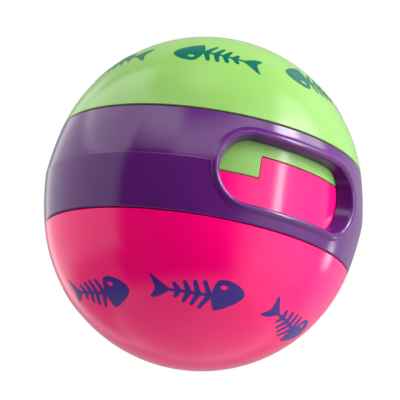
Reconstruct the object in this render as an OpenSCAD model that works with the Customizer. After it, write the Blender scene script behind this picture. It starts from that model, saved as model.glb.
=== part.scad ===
// Treat dispensing ball for a cat.
// Two moulded halves plug into a band from above and below. Each half is a
// domed cap with a neck, and the edges of the two necks are stepped so that
// they close against each other behind the window in the band. Twisting the
// lower half draws the steps apart and opens a slot for treats.
// Lengths are in millimetres. The ball's axis is Z, its middle is the origin,
// and the window faces -Y.

/* [Ball] */
// Height of the ball from pole to pole
ball_h = 80; // [77:0.5:84]
// Radius of the sphere that each cap is part of
cap_r = 37.5; // [36.5:0.1:38.5]
// Wall thickness at the poles
cap_wall = 1.8; // [1.2:0.1:2.4]

/* [Band] */
// How far the band's middle stands out past its edges
band_crown = 1.9; // [1.2:0.1:2.6]
// How far each half of the band bows out from a straight cone
band_bow = 0.25; // [0.15:0.05:0.5]
// Width of plain band between the window's lip and each seam
band_rim = 2.6; // [2:0.1:4]
// Width of the seam between the band and a cap
seam_gap = 0.2; // [0.1:0.05:0.4]
// Bevel on the edges at the seams
edge_bevel = 0.25; // [0.1:0.05:0.4]

/* [Window] */
// Height of the window
window_h = 14.6; // [12:0.2:17]
// Width of the window at the lip, measured round the band
window_w = 39.8; // [34:0.2:44]
// How much each end of the window narrows on its way in to the necks
window_flare = 1; // [0:0.1:1.6]
// Radius of the rounded lip
lip_r = 1.1; // [0.8:0.05:1.4]
// Height of the lip above the band
lip_proud = 0.45; // [0.2:0.05:0.6]

/* [Necks] */
// Width of the shoulder between a neck and the edge of its cap
shoulder_w = 1.95; // [1.8:0.05:2.4]
// Wall thickness of the necks
neck_wall = 2; // [1.4:0.1:2.6]
// Running gap between the necks and the bore of the band
neck_gap = 0.2; // [0.1:0.05:0.3]

/* [Treat gate] */
// Height of the steps, which is the height of the open slot
gate_h = 5.2; // [4:0.2:7]
// Height of the slot's middle above the middle of the ball
gate_rise = 1.8; // [0:0.1:2.5]
// Gap between the edges of the two necks
gate_gap = 0.2; // [0.1:0.05:0.4]
// Bevel on the end of each tab
tab_bevel = 0.2; // [0.1:0.05:0.3]
// Angle from the middle of the window to the step that shows
step_angle = 14; // [5:0.5:20]
// Angle that the lower half turns from shut to fully open
twist_angle = 60; // [45:1:90]

/* [Snap beads and key] */
// Depth of the snap bead below the shoulder
bead_drop = 3.3; // [3:0.1:3.6]
// Radius of the bead's rounded section
bead_r = 0.8; // [0.5:0.05:0.9]
// How far the bead stands out of the neck
bead_proud = 0.35; // [0.2:0.05:0.5]
// Clearance of the bead in its groove and on its way there
bead_gap = 0.05; // [0.03:0.01:0.1]
// Width of the key that stops the upper half from turning
key_w = 4; // [3:0.2:6]
// Height of the key
key_h = 1.9; // [1:0.1:2]
// How far the key stands out of the neck
key_proud = 1; // [0.6:0.05:1.1]
// Clearance of the key in its notch
key_gap = 0.15; // [0.05:0.05:0.3]

/* [Hidden] */
$fn = 180;

// How far a cut runs past the surface that it cuts
overrun = 3;

// Lip, seen in section across the window's edge
lip_foot = sqrt(pow(lip_r, 2) - pow(lip_r - lip_proud, 2));
lip_w = lip_r + lip_foot;

// Levels and radii of the seams, the band and the necks
cap_rise = ball_h / 2 - cap_r;
band_top = window_h / 2 + lip_w + band_rim;
seam_z = band_top + seam_gap;
seam_r = sqrt(pow(cap_r, 2) - pow(seam_z - cap_rise, 2));
band_edge_r = sqrt(pow(cap_r, 2) - pow(band_top - cap_rise, 2));
crest_r = band_edge_r + band_crown;
neck_r = seam_r - shoulder_w;
bore_r = neck_r + neck_gap;

// Each half of the band's outline follows an arc from its crest to its edge,
// in a few straight steps
bow_chord = norm([band_crown, band_top]);
bow_r = (pow(bow_chord / 2, 2) + pow(band_bow, 2)) / (2 * band_bow);
bow_normal = [band_top, band_crown] / bow_chord;
bow_centre = [crest_r - band_crown / 2, band_top / 2] - (bow_r - band_bow) * bow_normal;
bow_steps = 6;

// Steps of the necks, with Z up for the upper half and down for the lower one
gate_low = gate_rise - gate_h / 2;
gate_high = gate_rise + gate_h / 2;
tab_angle = (360 - twist_angle) / 2;
flank_gap_angle = (gate_gap / neck_r) * 180 / PI;

// Snap beads and the grooves for them
bead_z = seam_z - bead_drop;
bead_centre_r = neck_r + bead_proud - bead_r;
land_r = neck_r + bead_proud + bead_gap;

// Window frame, as a section that is swept round the window
window_end_r = window_h / 2;
window_half_run = window_w / 2 - window_end_r;
frame_depth = crest_r - neck_r + lip_proud;
lip_sunk_angle = 180 - asin((lip_r - 2 * lip_proud) / lip_r);
lip_steps = 12;
end_steps = 18;
run_steps = 14;

// Places round the window, each with the share of the straight run that its
// centre has moved along, and the angle from that centre
stations = concat(
    [for (i = [0:end_steps]) [1, -90 + 180 * i / end_steps]],
    [for (i = [1:run_steps - 1]) [1 - 2 * i / run_steps, 90]],
    [for (i = [0:end_steps]) [-1, 90 + 180 * i / end_steps]],
    [for (i = [1:run_steps - 1]) [2 * i / run_steps - 1, 270]]
);

// Outline of the frame's section, as distance out from the window's wall and
// rise above the surface of the band
frame_section = concat(
    [[0, -frame_depth]],
    [for (i = [0:lip_steps])
        let (a = lip_sunk_angle * i / lip_steps)
        [lip_r * (1 - cos(a)), lip_proud - lip_r + lip_r * sin(a)]],
    [[2 * lip_r, -frame_depth]]
);

// Radius of the band's surface at a height
function band_surface(z) = bow_centre.x + sqrt(pow(bow_r, 2) - pow(abs(z) - bow_centre.y, 2));

// Point wrapped round the band from its distance along the crest and its height
function wrapped(along, z, rise) =
    let (a = along / crest_r * 180 / PI, r = band_surface(z) + rise)
    [r * sin(a), -r * cos(a), z];

// Point of the window's frame at one station
function frame_point(station, out, rise) =
    let (
        flare = window_flare * rise / (crest_r - bore_r),
        reach = window_end_r + out,
        along = station[0] * (window_half_run + flare) + reach * cos(station[1])
    )
    wrapped(along, reach * sin(station[1]), rise);

// Ring of frame: the section swept round the window
module window_frame() {
    n = len(stations);
    m = len(frame_section);
    points = [for (s = stations) for (p = frame_section) frame_point(s, p[0], p[1])];
    faces = [
        for (i = [0:n - 1]) for (j = [0:m - 1])
            let (a = i * m, b = ((i + 1) % n) * m, k = (j + 1) % m)
            each [[a + j, b + k, a + k], [a + j, b + j, b + k]]
    ];
    polyhedron(points, faces);
}

// Plug that takes the band away from behind the frame
module window_plug() {
    n = len(stations);
    inner = [for (s = stations) frame_point(s, lip_r, -frame_depth - overrun)];
    outer = [for (s = stations) frame_point(s, lip_r, overrun)];
    middle = [wrapped(0, 0, -frame_depth - overrun), wrapped(0, 0, overrun)];
    faces = [
        for (i = [0:n - 1])
            let (k = (i + 1) % n)
            each [
                [i, n + i, n + k],
                [i, n + k, k],
                [i, k, 2 * n],
                [n + k, n + i, 2 * n + 1]
            ]
    ];
    polyhedron(concat(inner, outer, middle), faces);
}

// Part of a ring between two radii, two heights and two angles from -Y
module sector(r_in, r_out, z_low, z_high, from, to) {
    rotate([0, 0, from - 90])
        rotate_extrude(angle = to - from)
            translate([r_in, z_low])
                square([r_out - r_in, z_high - z_low]);
}

// Section of a bevel that breaks an edge at a seam
module bevel_cut(r, z) {
    polygon([
        [r - edge_bevel, z],
        [r - edge_bevel, z - overrun],
        [r + overrun, z - overrun],
        [r + overrun, z + edge_bevel],
        [r, z + edge_bevel]
    ]);
}

// Section of a neck, with a bevel on the end of its tab
module neck_section(tab_z) {
    neck_top = seam_z + edge_bevel;
    polygon([
        [0, tab_z],
        [neck_r - tab_bevel, tab_z],
        [neck_r, tab_z + tab_bevel],
        [neck_r, neck_top],
        [0, neck_top]
    ]);
}

// Key on a neck, or the notch for it when it is grown by a clearance
module key(gap) {
    half = (key_w / 2 + gap) / neck_r * 180 / PI;
    sector(neck_r - neck_wall / 2, neck_r + key_proud + gap,
        seam_z - key_h - gap, seam_z + edge_bevel, 180 - half, 180 + half);
}

// Cap with its neck. The neck reaches down to tab_z over the tab's angle,
// counted from the step, and to base_z all round.
module half(tab_z, base_z, tab_from, tab_to) {
    difference() {
        union() {
            rotate_extrude()
                difference() {
                    intersection() {
                        translate([0, cap_rise])
                            circle(r = cap_r);
                        translate([0, seam_z])
                            square([cap_r, ball_h]);
                    }
                    bevel_cut(seam_r, seam_z);
                }
            rotate_extrude()
                neck_section(tab_z);
            rotate_extrude()
                translate([bead_centre_r, bead_z])
                    circle(r = bead_r);
        }
        rotate_extrude()
            intersection() {
                translate([0, cap_rise])
                    circle(r = cap_r - cap_wall);
                translate([0, tab_z - overrun])
                    square([neck_r - neck_wall, ball_h]);
            }
        sector(neck_r - neck_wall - overrun, neck_r + overrun,
            tab_z - overrun, base_z, tab_to, tab_from + 360);
    }
}

// Upper half, whose tab hangs left of the step
module upper_half() {
    color("#a3db76")
        union() {
            half(gate_low + gate_gap / 2, gate_high + gate_gap / 2,
                -step_angle - tab_angle + flank_gap_angle / 2, -step_angle - flank_gap_angle / 2);
            key(0);
        }
}

// Lower half, whose tab stands right of the step
module lower_half() {
    color("#e5107a")
        mirror([0, 0, 1])
            half(-gate_high + gate_gap / 2, -gate_low + gate_gap / 2,
                -step_angle + flank_gap_angle / 2, -step_angle + tab_angle - flank_gap_angle / 2);
}

// Outline of the band, without its bore
module band_outline() {
    heights = [for (i = [-bow_steps:bow_steps]) band_top * i / bow_steps];
    difference() {
        polygon(concat(
            [[0, -band_top]],
            [for (z = heights) [band_surface(z), z]],
            [[0, band_top]]
        ));
        bevel_cut(band_edge_r, -band_top);
        mirror([0, 1])
            bevel_cut(band_edge_r, -band_top);
    }
}

// Bore of the band, with its lands and grooves for the snap beads
module band_bore() {
    cylinder(r = bore_r, h = 2 * (band_top + overrun), center = true);
    for (side = [0, 1])
        mirror([0, 0, side]) {
            translate([0, 0, bead_z])
                cylinder(r = land_r, h = band_top - bead_z + overrun);
            rotate_extrude()
                translate([bead_centre_r, bead_z])
                    circle(r = bead_r + 2 * bead_gap);
        }
}

// Band with the window
module window_band() {
    color("#6a2c91")
        difference() {
            union() {
                difference() {
                    rotate_extrude()
                        band_outline();
                    window_plug();
                }
                window_frame();
            }
            band_bore();
            key(key_gap);
        }
}

upper_half();
window_band();
lower_half();
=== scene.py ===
# %% [markdown]
# # Treat dispensing ball
# A ball for a cat, moulded in three colours of glossy plastic: a green and a
# pink half plug into a purple band, and the band has a window that treats fall
# out of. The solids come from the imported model. This script adds what a solid
# can't hold: the sheen of the plastic, the smooth bow of the band with its
# rolled lip, and the fish bones that are printed round both caps.

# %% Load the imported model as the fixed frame
import math
import bpy
import bmesh
from mathutils import Matrix, Vector


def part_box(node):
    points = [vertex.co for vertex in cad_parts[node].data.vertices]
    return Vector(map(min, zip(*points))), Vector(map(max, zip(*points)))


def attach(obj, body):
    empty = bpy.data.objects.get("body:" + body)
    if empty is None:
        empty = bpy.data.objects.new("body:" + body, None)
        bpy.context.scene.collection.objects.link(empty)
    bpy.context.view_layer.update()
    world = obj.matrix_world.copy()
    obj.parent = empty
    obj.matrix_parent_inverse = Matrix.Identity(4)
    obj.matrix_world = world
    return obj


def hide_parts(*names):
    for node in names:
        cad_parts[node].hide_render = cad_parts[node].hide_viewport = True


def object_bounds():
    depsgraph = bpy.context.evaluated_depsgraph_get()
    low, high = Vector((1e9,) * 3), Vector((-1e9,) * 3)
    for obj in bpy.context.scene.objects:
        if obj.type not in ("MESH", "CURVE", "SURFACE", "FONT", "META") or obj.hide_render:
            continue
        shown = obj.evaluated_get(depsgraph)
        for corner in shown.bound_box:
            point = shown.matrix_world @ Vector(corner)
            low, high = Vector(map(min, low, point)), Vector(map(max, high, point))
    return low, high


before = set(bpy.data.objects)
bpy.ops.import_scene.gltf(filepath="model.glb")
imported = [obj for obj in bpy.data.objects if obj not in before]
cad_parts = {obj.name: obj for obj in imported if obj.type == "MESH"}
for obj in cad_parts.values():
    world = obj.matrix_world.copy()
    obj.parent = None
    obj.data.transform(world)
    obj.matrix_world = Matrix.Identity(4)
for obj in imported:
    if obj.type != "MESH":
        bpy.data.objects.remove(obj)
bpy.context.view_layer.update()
bpy.ops.object.select_all(action="DESELECT")

MM = 0.001
ball_low, ball_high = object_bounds()
ball_r = (ball_high.z - ball_low.z) / 2
print("ball", round(2 * ball_r / MM, 1), "mm from pole to pole")

# %% [markdown]
# ## The camera
# The photographer stood well back and looked up at the ball, which is why more
# of the pink half shows. A long lens keeps the ball round. The camera stands
# first because the lamps are placed by what the photographer saw: each lamp is
# an angle right of the camera and an angle above it.

# %% Place the camera
CAMERA_AWAY = 400 * MM
CAMERA_AZIMUTH = math.radians(-33)
CAMERA_HEIGHT = math.radians(-14.68)
CAMERA_ROLL = math.radians(9.285)
SENSOR_W = 36
LENS_PIXELS = 1671
PHOTO_PIXELS = 400
MIDDLE_X, MIDDLE_Y = 203.4, 203.74

cos_h, sin_h = math.cos(CAMERA_HEIGHT), math.sin(CAMERA_HEIGHT)
to_camera = Vector((math.sin(CAMERA_AZIMUTH) * cos_h, -math.cos(CAMERA_AZIMUTH) * cos_h, sin_h))
level_right = Vector((math.cos(CAMERA_AZIMUTH), math.sin(CAMERA_AZIMUTH), 0))
level_up = to_camera.cross(level_right)
photo_right = math.cos(CAMERA_ROLL) * level_right + math.sin(CAMERA_ROLL) * level_up
photo_up = math.cos(CAMERA_ROLL) * level_up - math.sin(CAMERA_ROLL) * level_right
photo_axes = Matrix((photo_right, photo_up, to_camera)).transposed()

bpy.ops.object.camera_add(location=to_camera * CAMERA_AWAY, rotation=photo_axes.to_euler())
camera = bpy.context.object
camera.name = "camera"
camera.data.sensor_width = SENSOR_W
camera.data.lens = LENS_PIXELS / PHOTO_PIXELS * SENSOR_W
camera.data.shift_x = (PHOTO_PIXELS / 2 - MIDDLE_X) / PHOTO_PIXELS
camera.data.shift_y = (MIDDLE_Y - PHOTO_PIXELS / 2) / PHOTO_PIXELS
camera.data.clip_start = 10 * MM
bpy.context.scene.camera = camera
print("lens", round(camera.data.lens, 1), "mm")

# %% [markdown]
# ## Helpers
# Every colour below is written as the hex value that a paint program shows,
# and one function turns it into the linear light that a shader works in.
# Another adds a shader node, sets its inputs and links them.

# %% Colours and nodes
def linear(hex_colour):
    """Linear RGBA of an sRGB colour such as #a3db76."""
    channels = [int(hex_colour[i:i + 2], 16) / 255 for i in (1, 3, 5)]
    return [c / 12.92 if c <= 0.04045 else ((c + 0.055) / 1.055) ** 2.4 for c in channels] + [1]


def add_node(tree, kind, settings=None, **inputs):
    """Adds a node. An input given as a socket is linked, any other is set."""
    node = tree.nodes.new(kind)
    for name, value in (settings or {}).items():
        setattr(node, name, value)
    for name, value in inputs.items():
        key = int(name[1:]) if name[0] == "i" and name[1:].isdigit() else name.replace("_", " ")
        if isinstance(value, bpy.types.NodeSocket):
            tree.links.new(value, node.inputs[key])
        else:
            node.inputs[key].default_value = value
    return node


def new_material(name):
    """An empty node material with its output node, and the output."""
    material = bpy.data.materials.new(name)
    material.use_nodes = True
    material.node_tree.nodes.clear()
    output = material.node_tree.nodes.new("ShaderNodeOutputMaterial")
    return material, material.node_tree, output


# %% [markdown]
# ## Glossy moulded plastic
# The halves and the band are injection moulded, most likely in ABS or
# polypropylene, in a polished mould. That gives a clear gloss with soft edges,
# a very faint waviness that bends reflections, and slight streaks of colour
# where the melt flowed. The waviness is a bump about 7 mm wide and a few
# hundredths of a millimetre deep, and a finer one stands for handling marks,
# which also make the gloss a little uneven.

# %% Make a plastic
FLOW_W = 14 * MM
WAVE_W = 7 * MM
WAVE_DEPTH = 0.06 * MM
WAVE_STRENGTH = 0.25
SCUFF_W = 0.9 * MM
SCUFF_DEPTH = 0.01 * MM
SCUFF_STRENGTH = 0.2
CLEAREST_SHARE, DULLEST_SHARE = 0.9, 1.15
PLASTIC_IOR = 1.42


def mixed_colour(tree, share, hex_from, hex_to):
    """A colour that runs from one to the other."""
    mix = add_node(tree, "ShaderNodeMix", {"data_type": "RGBA"}, i0=share)
    mix.inputs[6].default_value = linear(hex_from)
    mix.inputs[7].default_value = linear(hex_to)
    return mix.outputs[2]


def moulded_plastic(name, hex_colour, hex_streak, roughness):
    """Polished moulded plastic with faint flow streaks and waviness."""
    material, tree, output = new_material(name)
    place = add_node(tree, "ShaderNodeTexCoord").outputs["Object"]
    streaks = add_node(tree, "ShaderNodeTexNoise", Vector=place, Scale=1 / FLOW_W, Detail=3, Roughness=0.55)
    wave = add_node(tree, "ShaderNodeTexNoise", Vector=place, Scale=1 / WAVE_W, Detail=1)
    scuffs = add_node(tree, "ShaderNodeTexNoise", Vector=place, Scale=1 / SCUFF_W, Detail=2)
    broad = add_node(tree, "ShaderNodeBump", Height=wave.outputs["Fac"], Strength=WAVE_STRENGTH,
                     Distance=WAVE_DEPTH)
    fine = add_node(tree, "ShaderNodeBump", Height=scuffs.outputs["Fac"], Normal=broad.outputs["Normal"],
                    Strength=SCUFF_STRENGTH, Distance=SCUFF_DEPTH)
    sheen = add_node(tree, "ShaderNodeMapRange", Value=scuffs.outputs["Fac"],
                     To_Min=roughness * CLEAREST_SHARE, To_Max=roughness * DULLEST_SHARE)
    plastic = add_node(tree, "ShaderNodeBsdfPrincipled", Roughness=sheen.outputs["Result"],
                       Base_Color=mixed_colour(tree, streaks.outputs["Fac"], hex_colour, hex_streak),
                       Normal=fine.outputs["Normal"], IOR=PLASTIC_IOR)
    tree.links.new(plastic.outputs["BSDF"], output.inputs["Surface"])
    return material


# The purple is the clearest of the three, and the green has the softest gloss
green_plastic = moulded_plastic("green moulded ABS", "#7dad56", "#84b35d", roughness=0.2)
purple_plastic = moulded_plastic("purple moulded ABS", "#511764", "#571d6b", roughness=0.13)
pink_plastic = moulded_plastic("pink moulded ABS", "#f7006e", "#fb0275", roughness=0.15)

# %% Give the two halves their plastic
for name, plastic in (("upper_half", green_plastic), ("lower_half", pink_plastic)):
    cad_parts[name].material_slots[0].material = plastic
    print(name, "is", plastic.name)

# %% [markdown]
# ## The band
# On the real ball the band is one moulding: a ring that bows out to a rounded
# crest with a faint parting line, and a window whose edge is rolled into a
# rounded lip. A polished surface shows every facet in its reflections, so the
# band is modelled again here, finer than the solid and at the same size. The
# ring is a section spun round the ball's axis. The lip is a section too: it is
# spun round one end of the window, drawn along the straight side, spun round
# the other end and drawn back, all on a flat sheet, which is then wrapped onto
# the ring. Wrapping keeps the lip even, which bending a finished ring wouldn't.

# %% The band's sizes
band_low, band_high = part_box("window_band")
BAND_TOP = band_high.z
CREST_R = band_high.y
CAP_R = 37.5 * MM
CAP_RISE = ball_r - CAP_R
EDGE_R = math.sqrt(CAP_R ** 2 - (BAND_TOP - CAP_RISE) ** 2)
EDGE_BEVEL = 0.25 * MM
BAND_BOW = 0.25 * MM
# The bore fits the necks closely, and a wider land above it lets them in
NECK_R = 34.3 * MM
BORE_GAP = 0.2 * MM
BORE_R = NECK_R + BORE_GAP
LAND_GAP = 0.4 * MM
LAND_R = NECK_R + LAND_GAP
# A snap bead on each neck sits in a groove
GROOVE_BELOW_TOP = 3.1 * MM
GROOVE_Z = BAND_TOP - GROOVE_BELOW_TOP
GROOVE_R = 0.9 * MM
GROOVE_CENTRE_IN = 0.45 * MM
GROOVE_CENTRE_R = NECK_R - GROOVE_CENTRE_IN

chord = math.hypot(CREST_R - EDGE_R, BAND_TOP)
BOW_R = (chord ** 2 / 4 + BAND_BOW ** 2) / (2 * BAND_BOW)
bow_out = Vector((BAND_TOP, CREST_R - EDGE_R)) / chord
bow_centre = Vector(((CREST_R + EDGE_R) / 2, BAND_TOP / 2)) - (BOW_R - BAND_BOW) * bow_out


def bowed(z):
    """Radius of one bowed half of the band at a height."""
    return bow_centre.x + math.sqrt(BOW_R ** 2 - (abs(z) - bow_centre.y) ** 2)


# A short parabola rounds the crest, where the two halves would meet in an edge
CREST_BLEND = 1.2 * MM
blend_off = CREST_BLEND - bow_centre.y
blend_slope = blend_off / math.sqrt(BOW_R ** 2 - blend_off ** 2)


def band_surface(z):
    """Radius of the band's outside at a height."""
    if abs(z) < CREST_BLEND:
        return bowed(CREST_BLEND) + blend_slope * (CREST_BLEND ** 2 - z ** 2) / (2 * CREST_BLEND)
    return bowed(z)


print("band", round(2 * CREST_R / MM, 1), "mm across,", round(2 * BAND_TOP / MM, 1), "mm high")

# %% Section of the ring
BOW_STEPS = 30
GROOVE_STEPS = 8
PARTING_W = 0.26 * MM
PARTING_H = 0.03 * MM


def arc(centre, r, start_deg, end_deg, steps):
    """Points along an arc, both ends included."""
    angles = [math.radians(start_deg + (end_deg - start_deg) * i / steps) for i in range(steps + 1)]
    return [(centre[0] + r * math.cos(a), centre[1] + r * math.sin(a)) for a in angles]


shoulder = BAND_TOP - EDGE_BEVEL
levels = [shoulder * i / BOW_STEPS for i in range(-BOW_STEPS, 0)] + [-PARTING_W / 2]
outside = [(band_surface(z), z) for z in levels]
outside += [(band_surface(0) + PARTING_H, 0)] + [(r, -z) for r, z in reversed(outside)]
land_deg = math.degrees(math.acos((LAND_R - GROOVE_CENTRE_R) / GROOVE_R))
bore_deg = math.degrees(math.acos((BORE_R - GROOVE_CENTRE_R) / GROOVE_R))
groove = arc((GROOVE_CENTRE_R, GROOVE_Z), GROOVE_R, land_deg, -bore_deg, GROOVE_STEPS)
upper_bore = [(EDGE_R - EDGE_BEVEL, BAND_TOP), (LAND_R, BAND_TOP)] + groove
section = outside + upper_bore + [(r, -z) for r, z in reversed(upper_bore)]
print("ring section", len(section), "points")

# %% Small tools for modelling
MERGE = 0.001 * MM


def only(item):
    """Selects this object alone and makes it the active one."""
    bpy.ops.object.select_all(action="DESELECT")
    item.select_set(True)
    bpy.context.view_layer.objects.active = item


def outline(name, points, closed=True):
    """A chain of edges through 3-D points."""
    last = len(points) if closed else len(points) - 1
    mesh = bpy.data.meshes.new(name)
    mesh.from_pydata(points, [(i, (i + 1) % len(points)) for i in range(last)], [])
    chain = bpy.data.objects.new(name, mesh)
    bpy.context.collection.objects.link(chain)
    return chain


def tidy_mesh(item):
    """Merges doubles and turns all faces outwards."""
    only(item)
    bpy.ops.object.mode_set(mode="EDIT")
    bpy.ops.mesh.select_all(action="SELECT")
    bpy.ops.mesh.remove_doubles(threshold=MERGE)
    bpy.ops.mesh.normals_make_consistent(inside=False)
    bpy.ops.object.mode_set(mode="OBJECT")


def carve(body, tool, operation="DIFFERENCE"):
    """Applies a boolean and removes the tool."""
    only(body)
    cut = body.modifiers.new("cut", "BOOLEAN")
    cut.operation = operation
    cut.solver = "EXACT"
    cut.object = tool
    bpy.ops.object.modifier_apply(modifier="cut")
    bpy.data.objects.remove(tool)


# %% Spin the ring
RING_STEPS = 360

band = outline("band", [(r, 0, z) for r, z in section])
only(band)
bpy.ops.object.mode_set(mode="EDIT")
bpy.ops.mesh.select_all(action="SELECT")
bpy.ops.mesh.spin(steps=RING_STEPS, angle=2 * math.pi, center=(0, 0, 0), axis=(0, 0, 1))
bpy.ops.object.mode_set(mode="OBJECT")
tidy_mesh(band)
print("ring", len(band.data.polygons), "faces")

# %% [markdown]
# ## The window and its lip
# The window was moulded by a slide that pulls straight out, so its walls are
# drafted: the opening narrows a little from its rim to the necks, and its right
# end flares more. The opening is cut by a plug that is a bit larger than the
# rim. The lip, whose section reaches all the way in to the bore, then fills the
# cut's edge with the finished wall.

# %% The window's sizes
WINDOW_END_R = 7.65 * MM
WINDOW_HALF_W = 19.9 * MM
WINDOW_HALF_RUN = WINDOW_HALF_W - WINDOW_END_R
WALL_DRAFT = 0.45 * MM
WALL_OVERRUN = 1 * MM
WALL_DEPTH = CREST_R - BORE_R + WALL_OVERRUN
RIGHT_FLARE = 0.6 * MM
LIP_R = 1.05 * MM
LIP_PROUD = 0.45 * MM
LIP_FILLET = 0.6 * MM
LIP_SUNK = 0.006 * MM
LIP_SEAT = 0.05 * MM
PLUG_OUT = 0.95 * MM
PLUG_OVERRUN = 3 * MM
print("window", round(2 * WINDOW_HALF_W / MM, 1), "mm wide,", round(2 * WINDOW_END_R / MM, 1), "mm high")

# %% Wrap a flat piece onto the ring
def wrap(item):
    """Wraps a flat piece onto the ring: X runs round it, Y up it and Z out of it."""
    for vertex in item.data.vertices:
        x, y, rise = vertex.co
        share = max(-1, min(1, x / WINDOW_HALF_RUN))
        flare = RIGHT_FLARE if x > 0 else 0
        around = (x + share * flare * rise / (CREST_R - BORE_R)) / CREST_R
        r = band_surface(y) + rise
        vertex.co = (r * math.sin(around), -r * math.cos(around), y)
    item.data.update()


# %% Sweep a section round the window, flat
END_STEPS = 60
RUN_STEPS = 40


def swept_round_window(name, out_and_rise, closed):
    """Spins a section round each end of the window and draws it along both straight sides."""
    points = [(WINDOW_HALF_RUN, -WINDOW_END_R - out, rise) for out, rise in out_and_rise]
    swept = outline(name, points, closed)
    only(swept)
    bpy.ops.object.mode_set(mode="EDIT")
    bpy.ops.mesh.select_all(action="SELECT")
    for side in (1, -1):
        bpy.ops.mesh.spin(steps=END_STEPS, angle=math.pi, center=(side * WINDOW_HALF_RUN, 0, 0),
                          axis=(0, 0, -1))
        for _ in range(RUN_STEPS):
            step = -side * 2 * WINDOW_HALF_RUN / RUN_STEPS
            bpy.ops.mesh.extrude_edges_move(TRANSFORM_OT_translate={"value": (step, 0, 0)})
    bpy.ops.object.mode_set(mode="OBJECT")
    return swept


# %% Cut the window
plug_side = [(PLUG_OUT, -WALL_DEPTH - PLUG_OVERRUN), (PLUG_OUT, PLUG_OVERRUN)]
plug = swept_round_window("plug", plug_side, closed=False)
tidy_mesh(plug)
bpy.ops.object.mode_set(mode="EDIT")
bpy.ops.mesh.select_all(action="SELECT")
bpy.ops.mesh.fill_holes(sides=0)
# The two ends have far more than 4 sides each
bpy.ops.mesh.select_face_by_sides(number=4, type="GREATER")
bpy.ops.mesh.poke()
bpy.ops.object.mode_set(mode="OBJECT")
wrap(plug)
tidy_mesh(plug)
carve(band, plug)
print("band with window", len(band.data.polygons), "faces")

# %% Add the lip
LIP_STEPS = 28
FILLET_STEPS = 8

# A round turns the wall outwards and over, and a small hollow runs out on the
# band, a hair below its surface so that the two unite cleanly
lip_rise = LIP_PROUD - LIP_R
fillet_rise = LIP_FILLET - LIP_SUNK
foot_out = LIP_R + math.sqrt((LIP_R + LIP_FILLET) ** 2 - (fillet_rise - lip_rise) ** 2)
turn_deg = math.degrees(math.atan2(fillet_rise - lip_rise, foot_out - LIP_R))
crown = arc((LIP_R, lip_rise), LIP_R, 180, turn_deg, LIP_STEPS)
fillet = arc((foot_out, fillet_rise), LIP_FILLET, 180 + turn_deg, 270, FILLET_STEPS)[1:]
lip_section = [(-WALL_DRAFT, -WALL_DEPTH)] + crown + fillet + [(foot_out, -WALL_DEPTH)]
lip = swept_round_window("lip", lip_section, closed=True)
tidy_mesh(lip)
wrap(lip)
# What would reach into the bore stops just outside it
for vertex in lip.data.vertices:
    r = math.hypot(vertex.co.x, vertex.co.y)
    if r < BORE_R + LIP_SEAT:
        vertex.co.xy *= (BORE_R + LIP_SEAT) / r
tidy_mesh(lip)
carve(band, lip, "UNION")
print("band with lip", len(band.data.polygons), "faces")

# %% Cut the key's notch at the rear
KEY_W = 4.3 * MM
KEY_TALL = 1.85 * MM
KEY_Z = BAND_TOP - KEY_TALL
KEY_PROUD = 1.15 * MM
KEY_OUT_R = NECK_R + KEY_PROUD
NOTCH_DEEP = 2 * MM
NOTCH_TALL = 4 * MM
bpy.ops.mesh.primitive_cube_add(size=1, location=(0, KEY_OUT_R - NOTCH_DEEP / 2, KEY_Z + NOTCH_TALL / 2),
                                scale=(KEY_W, NOTCH_DEEP, NOTCH_TALL))
notch = bpy.context.object
bpy.ops.object.transform_apply(location=True, rotation=True, scale=True)
carve(band, notch)

# %% Finish the band's edges
BAND_SMOOTH = math.radians(28)
band.data.materials.clear()
band.data.materials.append(purple_plastic)
only(band)
bpy.ops.object.shade_smooth_by_angle(angle=BAND_SMOOTH)
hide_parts("window_band")
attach(band, "band")
print("band", len(band.data.polygons), "faces")

# %% [markdown]
# ## The printed fish bones
# Each cap has a ring of fish bones, printed in one dark ink. A print is a film
# too thin to see from the side, so here it is a closed film that reaches a few
# hundredths of a millimetre above the plastic. The fish is drawn once, flat,
# cut into small faces so that it can bend, and each copy is then laid round a
# cap by latitude and longitude.

# %% Ink
BLOTCH_W = 1.2 * MM
THIN_FROM, THIN_TO = 0.5, 0.8
INK_ROUGHNESS = 0.24


def ink(name, hex_colour, hex_thin):
    """Printing ink: a little duller than the plastic, and paler in blotches where it is thin."""
    material, tree, output = new_material(name)
    place = add_node(tree, "ShaderNodeTexCoord").outputs["Object"]
    blotches = add_node(tree, "ShaderNodeTexNoise", Vector=place, Scale=1 / BLOTCH_W, Detail=3)
    thin = add_node(tree, "ShaderNodeMapRange", Value=blotches.outputs["Fac"], From_Min=THIN_FROM,
                    From_Max=THIN_TO)
    film = add_node(tree, "ShaderNodeBsdfPrincipled", Roughness=INK_ROUGHNESS, IOR=PLASTIC_IOR,
                    Base_Color=mixed_colour(tree, thin.outputs["Result"], hex_colour, hex_thin))
    tree.links.new(film.outputs["BSDF"], output.inputs["Surface"])
    return material


indigo_ink = ink("indigo ink", "#30087c", "#3a1486")
teal_ink = ink("teal ink", "#005d4e", "#006857")

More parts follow.
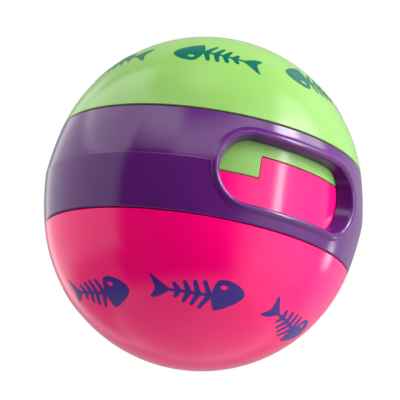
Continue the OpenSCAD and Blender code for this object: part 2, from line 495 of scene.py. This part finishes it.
# %% Draw one flat fish from outlines in millimetres, nose towards +X
HEAD = [(4.09, 4.16), (4.71, 4.42), (5.56, 4.61), (6.65, 4.5), (8.01, 4.15), (9.24, 3.59), (10.12, 2.88),
        (10.61, 2.0), (10.51, 1.08), (9.96, 0.14), (9.04, -0.98), (7.88, -2.02), (6.61, -2.92), (5.39, -3.55),
        (4.94, -3.5), (4.29, -2.4), (3.8, -1.14), (3.5, -0.06), (3.46, 1.05), (3.59, 2.36), (3.78, 3.38)]
TAIL = [(-10.35, 3.55), (-9.58, 3.19), (-8.82, 2.59), (-7.75, 1.58), (-6.8, 0.86), (-5.9, 0.36),
        (-5.9, -0.26), (-6.79, -0.94), (-7.81, -1.73), (-9.05, -2.33), (-10.5, -2.5), (-9.84, -1.42),
        (-9.38, -0.75), (-9.1, -0.1), (-9.25, 0.81), (-9.6, 1.9)]
SPINE = [(-6.2, 0.3), (3.7, 0.5), (3.7, -0.3), (-6.2, -0.35)]
RIB_ROOTS = [-3.7, -1.5, 0.6, 3.1]
RIB_TOPS = [(-4.8, 1.65), (-2.6, 2.35), (-0.55, 2.85), (1.5, 3.15)]
RIB_FEET = [(-4.4, -1.5), (-2.4, -2.45), (-0.45, -2.9), (1.6, -3.4)]
RIB_ROOT_W = 1.35
RIB_TIP_W = 0.86
RIB_TIP_STEPS = 6
CORNER_ROUNDS = 2
CUT_SHARES = (0.75, 0.25)
EYE = (5.7, 2.7)
EYE_R = (0.82, 0.6)


def flat_shape(points):
    """Adds a flat face with the given outline, in millimetres."""
    mesh = bpy.data.meshes.new("outline")
    mesh.from_pydata([(x * MM, y * MM, 0) for x, y in points], [], [list(range(len(points)))])
    shape = bpy.data.objects.new("outline", mesh)
    bpy.context.collection.objects.link(shape)
    return shape


def rib(root_x, tip):
    """Outline of a rib that tapers from the spine to a rounded tip."""
    root = Vector((root_x, 0))
    along = (Vector(tip) - root).normalized()
    side = Vector((-along.y, along.x))
    start = [root + side * RIB_ROOT_W / 2, root - side * RIB_ROOT_W / 2]
    turns = [math.pi * i / RIB_TIP_STEPS for i in range(RIB_TIP_STEPS + 1)]
    end = [Vector(tip) + RIB_TIP_W / 2 * (math.sin(a) * along - math.cos(a) * side) for a in turns]
    return [tuple(p) for p in start[1:] + end + start[:1]]


def upright(points):
    """The same outline, turned anticlockwise so that its face looks up."""
    area = sum(a[0] * b[1] - b[0] * a[1] for a, b in zip(points, points[1:] + points[:1]))
    return points if area > 0 else points[::-1]


def rounded(points):
    """The outline with its corners cut back twice, which leaves a smooth curve."""
    for _ in range(CORNER_ROUNDS):
        pairs = zip(points, points[1:] + points[:1])
        cuts = [(p, q, near) for p, q in pairs for near in CUT_SHARES]
        points = [tuple(near * a + (1 - near) * b for a, b in zip(p, q)) for p, q, near in cuts]
    return points


bones = [rounded(HEAD), rounded(TAIL), SPINE]
bones += [rib(x, tip) for x, tip in zip(RIB_ROOTS, RIB_TOPS)]
bones += [rib(x, tip) for x, tip in zip(RIB_ROOTS, RIB_FEET)]
print("fish outlines", len(bones))

# %% Join the outlines into one flat fish
SLAB_THICK = 1 * MM
EYE_STEPS = 24


def fish_slab():
    """Gives each outline a thickness, unites them all and cuts the eye."""
    slabs = []
    for points in bones:
        slab = flat_shape(upright(points))
        only(slab)
        thick = slab.modifiers.new("thick", "SOLIDIFY")
        thick.thickness = SLAB_THICK
        thick.offset = 0
        bpy.ops.object.modifier_apply(modifier="thick")
        slabs.append(slab)
    whole = slabs[0]
    for slab in slabs[1:]:
        carve(whole, slab, "UNION")
    bpy.ops.mesh.primitive_cylinder_add(vertices=EYE_STEPS, radius=MM, depth=4 * SLAB_THICK,
                                        location=(EYE[0] * MM, EYE[1] * MM, 0), scale=(*EYE_R, 1))
    carve(whole, bpy.context.object)
    whole.name = "fish"
    return whole


fish = fish_slab()
print("fish slab", len(fish.data.polygons), "faces")

# %% Keep its face and cut that into small cells
CELL = 0.5 * MM
LOOKS_UP = 0.9


def keep_face(slab):
    """Keeps only the faces that look up."""
    mesh = bmesh.new()
    mesh.from_mesh(slab.data)
    bmesh.ops.delete(mesh, geom=[face for face in mesh.faces if face.normal.z < LOOKS_UP], context="FACES")
    mesh.to_mesh(slab.data)
    mesh.free()


def cut_small(shape):
    """Cuts a flat mesh into cells small enough to follow a curved surface."""
    only(shape)
    bpy.ops.object.mode_set(mode="EDIT")
    reach = max(abs(c) for v in shape.data.vertices for c in v.co[:2])
    steps = int(reach / CELL) + 1
    for axis in ((1, 0, 0), (0, 1, 0)):
        for i in range(-steps, steps + 1):
            bpy.ops.mesh.select_all(action="SELECT")
            bpy.ops.mesh.bisect(plane_co=[c * i * CELL for c in axis], plane_no=axis)
    bpy.ops.object.mode_set(mode="OBJECT")


keep_face(fish)
cut_small(fish)
print("fish template", len(fish.data.polygons), "faces")

# %% Wrap copies of the fish onto the caps
INK_LIFT = 0.05 * MM
INK_FILM = 0.04 * MM
INK_SMOOTH = math.radians(40)
PRINT_LATITUDE = math.radians(42)
# Each fish was stamped on its own, a little askew. Longitude from the camera,
# latitude and tilt, all in degrees.
PINK_FISH = [(3, -42, 0), (59.7, -43.5, -11), (122, -42.5, -4), (184, -43, 3), (246, -42, -6),
             (308.9, -44.7, -6)]
GREEN_FISH = [(-4.2, 42.9, -10), (52, 42.4, -10), (114, 42, -3), (175, 42.5, 4), (237, 42, -5),
              (299, 41.2, 5)]


def ring_of_fish(name, places, side, plastic_ink, body):
    """Copies the fish round a cap. side is 1 for the upper one, whose fish are upside down, and -1 below."""
    bpy.ops.object.select_all(action="DESELECT")
    for longitude, latitude, tilt in places:
        copy = bpy.data.objects.new("print", fish.data.copy())
        bpy.context.collection.objects.link(copy)
        turn = Matrix.Rotation(math.radians(tilt), 2)
        for vertex in copy.data.vertices:
            x, y = turn @ vertex.co.xy
            along = side * x / (CAP_R * math.cos(PRINT_LATITUDE))
            around = CAMERA_AZIMUTH + math.radians(longitude) - along
            up = math.radians(latitude) - side * y / CAP_R
            r = CAP_R + INK_LIFT
            vertex.co = (r * math.cos(up) * math.sin(around), -r * math.cos(up) * math.cos(around),
                         r * math.sin(up) + side * CAP_RISE)
        copy.select_set(True)
        bpy.context.view_layer.objects.active = copy
    bpy.ops.object.join()
    prints = bpy.context.object
    prints.name = name
    film = prints.modifiers.new("film", "SOLIDIFY")
    film.thickness = INK_FILM
    film.offset = -1
    bpy.ops.object.modifier_apply(modifier="film")
    bpy.ops.object.shade_smooth_by_angle(angle=INK_SMOOTH)
    prints.data.materials.append(plastic_ink)
    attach(prints, body)
    print(name, len(prints.data.polygons), "faces")
    return prints


pink_prints = ring_of_fish("lower_prints", PINK_FISH, -1, indigo_ink, "lower")
green_prints = ring_of_fish("upper_prints", GREEN_FISH, 1, teal_ink, "upper")
bpy.data.objects.remove(fish)

# %% [markdown]
# ## Light tent
# The ball was photographed in a white tent that is open towards the camera, so
# every glossy surface shows white walls round a dark opening. The tent is the
# world here: soft-edged panels on a sphere round the ball, each placed by its
# angle right of the camera and above it. Brightness is what a mirror would show
# of a panel, where 1 is white.

# %% Directions round the ball, in degrees as the camera sees them
world = bpy.data.worlds.new("light tent")
bpy.context.scene.world = world
world.use_nodes = True
tree = world.node_tree
tree.nodes.clear()
sky_way = add_node(tree, "ShaderNodeTexCoord").outputs["Generated"]


def share_along(axis):
    """How far a direction points along an axis."""
    part = add_node(tree, "ShaderNodeVectorMath", {"operation": "DOT_PRODUCT"}, i0=sky_way)
    part.inputs[1].default_value = axis
    return part.outputs["Value"]


def calculate(operation, *values):
    """A math node's result."""
    inputs = {f"i{k}": value for k, value in enumerate(values)}
    return add_node(tree, "ShaderNodeMath", {"operation": operation}, **inputs).outputs[0]


rightwards = calculate("DEGREES", calculate("ARCTAN2", share_along(photo_right), share_along(to_camera)))
upwards = calculate("DEGREES", calculate("ARCSINE", share_along(photo_up)))

# %% Panels of the tent
# Name, azimuth from and to, elevation from and to, width of the soft edge, all
# in degrees, and brightness
PANELS = [
    ("rear wall", 146, 214, -48, 50, 16, 0.45),
    ("left wall", -156, -63, -20, 30, 9, 1.25),
    ("left wall, low", -156, -71, -50, -20, 8, 0.45),
    ("upper left", -140, -66, 28, 62, 6, 2.3),
    ("upper front left", -66, -24, 46, 64, 16, 3.3),
    ("upper front", -24, 62, 38, 56, 16, 2.7),
    ("ceiling", -200, 200, 82, 100, 12, 1.4),
    ("right wall", 32, 90, -46, 46, 30, 1.7),
    ("right rear wall", 90, 146, -46, 46, 30, 0.95),
    ("floor, left", -180, 0, -78, -46, 14, 0.8),
    ("floor, right", 0, 180, -78, -46, 14, 1.0),
    ("floor, middle", -200, 200, -100, -78, 14, 1.05),
    ("right lamp, low", 62, 67, -2, 24, 2, 18.0),
    ("right lamp, middle", 66, 84, 21, 42, 5, 21.0),
    ("right lamp, right", 84, 106, 18, 38, 8, 6.0),
    ("right lamp, high", 84, 112, 38, 52, 8, 3.2),
    ("right rear lamp", 109, 117, -22, -13, 5, 8.0),
]


def between(angle, start, end, soft):
    """1 between two angles, with soft edges down to 0."""
    off_middle = calculate("SUBTRACT", angle, (start + end) / 2)
    away = calculate("ABSOLUTE", calculate("WRAP", off_middle, 180, -180))
    half = (end - start) / 2
    return add_node(tree, "ShaderNodeMapRange", {"interpolation_type": "SMOOTHSTEP"}, Value=away,
                    From_Min=half - soft / 2, From_Max=half + soft / 2, To_Min=1, To_Max=0).outputs["Result"]


light = 0.0
for name, az_from, az_to, el_from, el_to, soft, brightness in PANELS:
    across = between(rightwards, az_from, az_to, soft)
    panel = calculate("MULTIPLY", across, between(upwards, el_from, el_to, soft))
    lit = add_node(tree, "ShaderNodeMath", {"operation": "MULTIPLY_ADD", "label": name}, i0=panel,
                   i1=brightness, i2=light)
    light = lit.outputs[0]
print("tent", len(PANELS), "panels")

# %% White backdrop for the camera, the tent for everything else
tent = add_node(tree, "ShaderNodeBackground", Color=linear("#ffffff"), Strength=light)
backdrop = add_node(tree, "ShaderNodeBackground", Color=linear("#ffffff"), Strength=1.0)
seen = add_node(tree, "ShaderNodeLightPath").outputs["Is Camera Ray"]
sky = add_node(tree, "ShaderNodeMixShader", i0=seen)
tree.links.new(tent.outputs[0], sky.inputs[1])
tree.links.new(backdrop.outputs[0], sky.inputs[2])
world_output = add_node(tree, "ShaderNodeOutputWorld")
tree.links.new(sky.outputs[0], world_output.inputs["Surface"])

# %% [markdown]
# ## Soft lamps
# The room adds light from all round, too soft to show as a reflection. Two
# large discs stand in for it, one high behind the ball and one low on the left,
# and both are hidden from the gloss.

# %% Wide soft lamps
FILL_W = 900 * MM
FILL_AWAY = 700 * MM
# Name, azimuth and elevation in degrees, and watts
FILLS = [
    ("overhead fill", 180, 76, 3.1),
    ("front fill", -65, -20, 0.8),
]

for name, azimuth, height, watts in FILLS:
    azimuth = math.radians(azimuth)
    height = math.radians(height)
    level = math.sin(azimuth) * photo_right + math.cos(azimuth) * to_camera
    way = math.cos(height) * level + math.sin(height) * photo_up
    bpy.ops.object.light_add(type="AREA", location=way * FILL_AWAY,
                             rotation=way.to_track_quat("Z", "Y").to_euler())
    fill = bpy.context.object
    fill.name = name
    fill.data.shape = "DISK"
    fill.data.size = FILL_W
    fill.data.energy = watts
    fill.visible_glossy = False
print("soft lamps", len(FILLS))

# %% [markdown]
# ## The floor
# The camera looks up at the ball, so a floor would hide it. This one is plain
# pale paint that shows, and takes the ball's shadow, only from above. It sends
# no light back, because the tent's own floor panels already do.

# %% Floor, seen only from above
FLOOR_SIDE = 3000 * MM
bpy.ops.mesh.primitive_plane_add(size=FLOOR_SIDE, location=(0, 0, ball_low.z))
floor = bpy.context.object
floor.name = "floor"
floor_paint, tree, output = new_material("pale matt floor")
paint = add_node(tree, "ShaderNodeBsdfDiffuse", Color=linear("#f4f4f2"))
clear = add_node(tree, "ShaderNodeBsdfTransparent")
underside = add_node(tree, "ShaderNodeNewGeometry").outputs["Backfacing"]
one_sided = add_node(tree, "ShaderNodeMixShader", i0=underside)
tree.links.new(paint.outputs[0], one_sided.inputs[1])
tree.links.new(clear.outputs[0], one_sided.inputs[2])
tree.links.new(one_sided.outputs[0], output.inputs["Surface"])
floor.data.materials.append(floor_paint)
floor.visible_glossy = False
floor.visible_diffuse = False
floor.visible_shadow = False

bpy.context.scene.view_settings.view_transform = "Standard"
